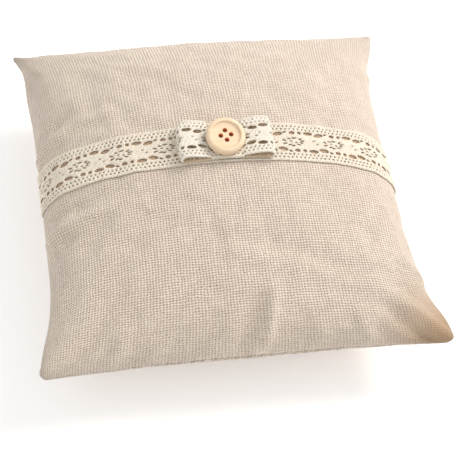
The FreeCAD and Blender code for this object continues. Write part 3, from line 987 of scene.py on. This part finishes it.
def button_wood():
    """Pale turned hardwood: fine straight grain, faint rings, and hole walls browned partly by the drill and
    partly with painted shade.
    """
    finish = Finish("button_wood", 0.5, Specular_IOR_Level=0.4, Coat_Weight=0.12, Coat_Roughness=0.45)
    x, y, z, _ = finish.object_place()
    low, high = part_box("button")
    middle = (low + high) / 2 / MM
    lean = math.atan2(-CROWN_UP.y, CROWN_UP.z) + math.radians(BUTTON_TILT)
    cx = x - middle.x
    cy = (y - middle.y) * math.cos(lean) + (z - middle.z) * math.sin(lean)
    grain = finish.noise(finish.joined(cx * 0.22 + cy * 0.05, cy * 2.2, z * 1.2), 1.1, 4, 0.6)
    figure = finish.noise(finish.joined(cx * 0.09, cy * 0.55, z * 0.4), 1.0, 2)
    pores = finish.noise(finish.joined(cx * 0.9, cy * 7.0, z * 4.0), 1.0, 3, 0.7)
    tone = grain * 0.45 + figure * 0.5 + pores * 0.2
    wood = finish.mixed(tone.ramp(-0.7, 0.7), (0.69, 0.50, 0.315), (0.87, 0.70, 0.50))
    # hole walls red-brown: partly drill scorch, partly painted shade inside the deep holes
    singe_and_shade = None
    for k in range(4):
        turn = math.radians(HOLE_TURN + 90 * k)
        off_x, off_y = cx - HOLE_CIRCLE * math.cos(turn), cy - HOLE_CIRCLE * math.sin(turn)
        near = (off_x.squared() + off_y.squared()).math("SQRT").ramp(1.12, 1.3, 1.0, 0.0)
        singe_and_shade = near if singe_and_shade is None else singe_and_shade.max(near)
    finish.colour(finish.mixed(singe_and_shade, wood, (0.72, 0.25, 0.10)))
    finish.rough(pores.ramp(-1, 1, 0.62, 0.45))
    finish.bump(grain * 0.6 + pores * 0.5, 0.00008, 0.6)
    return finish.material


def glue():
    """Clear set craft glue."""
    finish = Finish("glue", 0.25, Transmission_Weight=0.5, IOR=1.47)
    *_, vector = finish.object_place()
    ripple = finish.noise(vector, 0.6, 3)
    finish.colour(finish.mixed(ripple.ramp(-1, 1), (0.80, 0.74, 0.60), (0.92, 0.89, 0.80)))
    finish.bump(ripple, 0.0002, 0.6)
    return finish.material


def floor_paper():
    """Plain pale studio sweep with a very faint tooth."""
    finish = Finish("floor_paper", 0.9, Specular_IOR_Level=0.1)
    *_, vector = finish.object_place()
    tooth = finish.noise(vector, 0.4, 3)
    finish.colour(finish.mixed(tooth.ramp(-1, 1), (0.965, 0.96, 0.955), (0.985, 0.98, 0.975)))
    finish.shader.inputs["Emission Color"].default_value = (1, 1, 1, 1)
    finish.shader.inputs["Emission Strength"].default_value = 0.2
    return finish.material


def dress(piece, material, body=ROOT):
    """Gives a piece its material and slot, and the body it rides on unless body is None."""
    piece.data.materials.clear()
    piece.data.materials.append(material)
    if body:
        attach(piece, body)
    return piece


# ---------------------------------------------------------------- assembly
front, back, flat = make_cushion()
THREAD = thread()
BAND_LACE, BOW_LACE = lace("lace_band_cotton", False), lace("lace_bow_cotton", True)

front_cover = dress(panel_object("front_cover", front, 1, flat), linen("linen", True))
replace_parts(front_cover, "cover_front")
back_cover = dress(panel_object("back_cover", back, -1, flat), linen("linen_back", False))
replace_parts(back_cover, "cover_back")
stuffing = dress(make_fill(front, back), stuffing_fibre())
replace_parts(stuffing, "fibre_fill")
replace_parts(dress(make_seam_stitches(front), THREAD), "seam_thread")
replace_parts(dress(make_closing_stitches(front, back), THREAD), "closing_stitches")

band = dress(make_band(front), BAND_LACE)
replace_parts(band, "lace_band")

left_ribbon, right_ribbon, centre_lower, centre_upper = make_bow()
for ribbon, side, body in ((left_ribbon, -1, "left_loop"), (right_ribbon, 1, "right_loop")):
    dress(ribbon, BOW_LACE, body=None)
    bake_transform(ribbon)
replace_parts(left_ribbon, "bow_left_loop")
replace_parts(right_ribbon, "bow_right_loop")
for ribbon in (centre_lower, centre_upper):
    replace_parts(dress(ribbon, BAND_LACE), "bow_centre")

for node, material in (("button", button_wood()), ("button_glue", glue()), ("tack_thread", THREAD)):
    mesh = frame["nodes"][node].data
    mesh.materials.clear()
    mesh.materials.append(material)

# ---------------------------------------------------------------- studio
bpy.ops.mesh.primitive_plane_add(size=20, location=(0, 0, -0.0002))
floor = bpy.context.object
floor.name = "studio_floor"
floor.data.materials.append(floor_paper())


def soft_light(name, place, size, power, tint):
    """Square area light turned to the cushion."""
    data = bpy.data.lights.new(name, "AREA")
    data.size, data.energy, data.color = size, power, tint
    light = bpy.data.objects.new(name, data)
    light.location = place
    light.rotation_euler = (Vector((0, 0, SEAM_Z)) - Vector(place)).to_track_quat("-Z", "Y").to_euler()
    bpy.context.scene.collection.objects.link(light)


soft_light("key_light", (0.75, 0.35, 0.85), 0.55, 12.0, (1.0, 0.965, 0.915))
soft_light("fill_light", (-0.9, -0.5, 1.0), 1.2, 3.0, (0.96, 0.97, 1.0))
world = bpy.data.worlds.new("studio")
world.use_nodes = True
background = world.node_tree.nodes["Background"]
background.inputs["Color"].default_value = (1, 1, 1, 1)
background.inputs["Strength"].default_value = 0.7
bpy.context.scene.world = world
bpy.context.scene.view_settings.view_transform = "Standard"

TURN, TILT, ROLL = -0.2792, 0.9471, 0.1503      # where the camera stands and how it leans, radians
DISTANCE, ASIDE, ALOFT = 0.77135, 0.00794, -0.01776
camera_data = bpy.data.cameras.new("camera")
camera_data.sensor_width = 36
camera_data.lens = 120.1
camera = bpy.data.objects.new("camera", camera_data)
bpy.context.scene.collection.objects.link(camera)
to_camera = Vector((math.sin(TURN) * math.cos(TILT), -math.cos(TURN) * math.cos(TILT), math.sin(TILT)))
level = (-to_camera).cross(Vector((0, 0, 1))).normalized()
upright = level.cross(-to_camera)
place = Vector((0, 0, SEAM_Z)) + to_camera * DISTANCE + level * ASIDE + upright * ALOFT
right = level * math.cos(ROLL) + upright * math.sin(ROLL)
up = upright * math.cos(ROLL) - level * math.sin(ROLL)
camera.matrix_world = Matrix.Translation(place) @ Matrix((right, up, to_camera)).transposed().to_4x4()
bpy.context.scene.camera = camera
